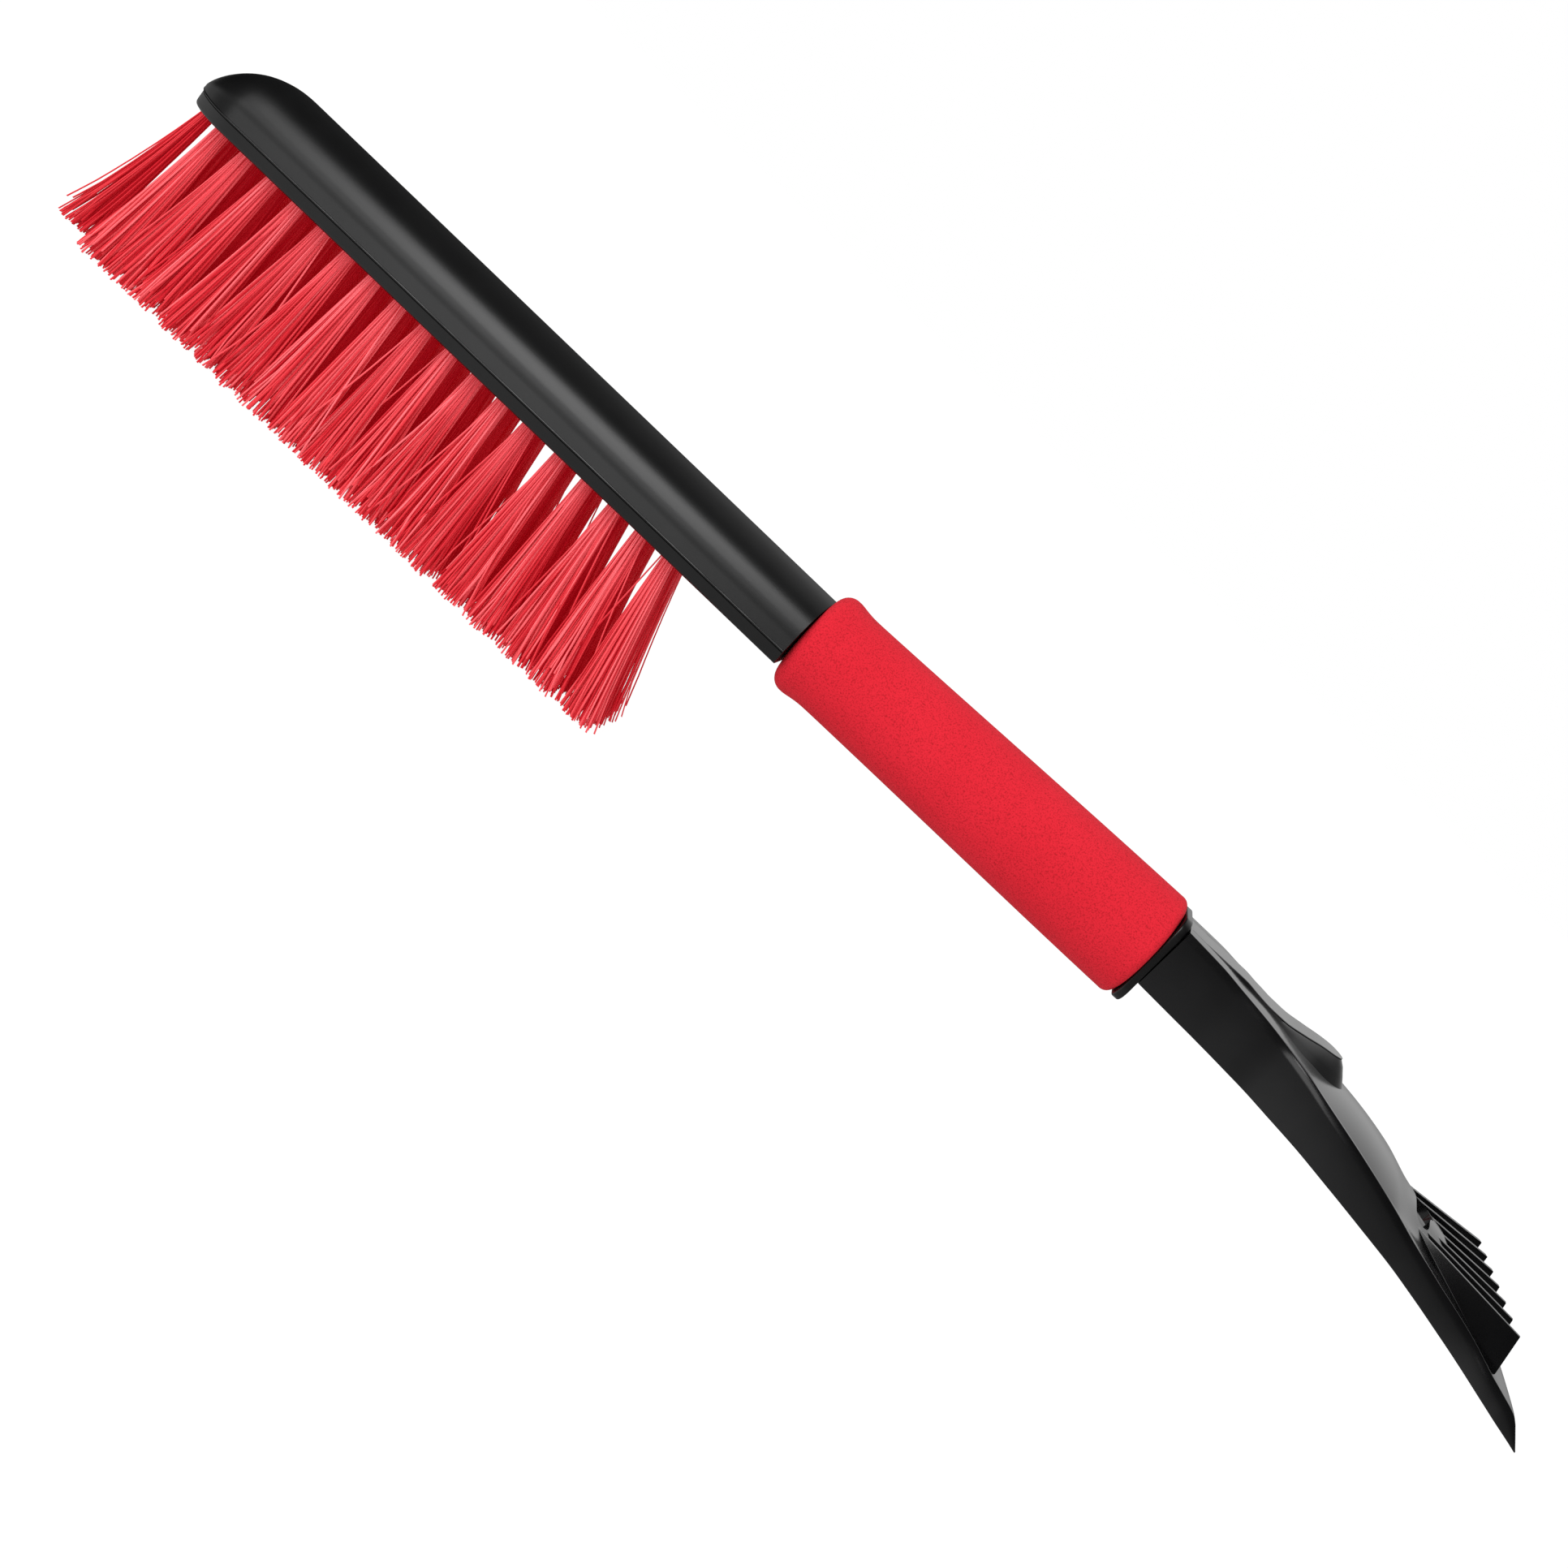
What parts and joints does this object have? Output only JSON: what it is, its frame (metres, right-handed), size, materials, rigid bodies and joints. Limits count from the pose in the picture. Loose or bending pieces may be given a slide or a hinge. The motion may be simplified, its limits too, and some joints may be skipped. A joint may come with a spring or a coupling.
{
  "type": "snow brush with ice scraper",
  "caption": "Straight hand tool for clearing a car of snow and ice: bristle brush at one end, foam grip in the middle, finned scraper blade at the other.",
  "frame": {"origin": "under the middle of the tool's length and width, level with the bristle tips", "axes": "+X along the handle towards the scraper edge, +Y across the blade, +Z away from the bristle tips"},
  "size_m": [0.5132, 0.1, 0.08],
  "materials": {
    "handle_plastic": "moulded, satin black",
    "scraper_plastic": "moulded, semi-gloss black",
    "collar_plastic": "moulded, satin black",
    "grip_foam": "fine closed-cell foam rubber, red",
    "filament_nylon": "red nylon filaments in a loose bundle",
    "pin_steel": "plain steel"
  },
  "bodies": {
    "root": {"brush_handle": "handle_plastic", "foam_grip": "grip_foam", "grip_collar": "collar_plastic", "scraper_head": "scraper_plastic", "retaining_pin": "pin_steel", "bristle_tuft_nose": "filament_nylon", "bristle_tuft_1_a": "filament_nylon", "bristle_tuft_1_b": "filament_nylon", "bristle_tuft_1_c": "filament_nylon", "bristle_tuft_2_a": "filament_nylon", "bristle_tuft_2_b": "filament_nylon", "bristle_tuft_2_c": "filament_nylon", "bristle_tuft_3_a": "filament_nylon", "bristle_tuft_3_b": "filament_nylon", "bristle_tuft_3_c": "filament_nylon", "bristle_tuft_4_a": "filament_nylon", "bristle_tuft_4_b": "filament_nylon", "bristle_tuft_4_c": "filament_nylon", "bristle_tuft_5_a": "filament_nylon", "bristle_tuft_5_b": "filament_nylon", "bristle_tuft_5_c": "filament_nylon", "bristle_tuft_6_a": "filament_nylon", "bristle_tuft_6_b": "filament_nylon", "bristle_tuft_6_c": "filament_nylon", "bristle_tuft_7_a": "filament_nylon", "bristle_tuft_7_b": "filament_nylon", "bristle_tuft_7_c": "filament_nylon", "bristle_tuft_8_a": "filament_nylon", "bristle_tuft_8_b": "filament_nylon", "bristle_tuft_8_c": "filament_nylon", "bristle_tuft_9_a": "filament_nylon", "bristle_tuft_9_b": "filament_nylon", "bristle_tuft_9_c": "filament_nylon", "bristle_tuft_10_a": "filament_nylon", "bristle_tuft_10_b": "filament_nylon", "bristle_tuft_10_c": "filament_nylon", "bristle_tuft_11_a": "filament_nylon", "bristle_tuft_11_b": "filament_nylon", "bristle_tuft_11_c": "filament_nylon", "bristle_tuft_12_a": "filament_nylon", "bristle_tuft_12_b": "filament_nylon", "bristle_tuft_12_c": "filament_nylon", "bristle_tuft_13_a": "filament_nylon", "bristle_tuft_13_b": "filament_nylon", "bristle_tuft_13_c": "filament_nylon", "bristle_tuft_14_a": "filament_nylon", "bristle_tuft_14_b": "filament_nylon", "bristle_tuft_14_c": "filament_nylon", "bristle_tuft_15_a": "filament_nylon", "bristle_tuft_15_b": "filament_nylon", "bristle_tuft_15_c": "filament_nylon", "bristle_tuft_16_a": "filament_nylon", "bristle_tuft_16_b": "filament_nylon", "bristle_tuft_16_c": "filament_nylon", "bristle_tuft_17_a": "filament_nylon", "bristle_tuft_17_b": "filament_nylon", "bristle_tuft_17_c": "filament_nylon", "bristle_tuft_18_a": "filament_nylon", "bristle_tuft_18_b": "filament_nylon", "bristle_tuft_18_c": "filament_nylon"}
  },
  "joints": []
}
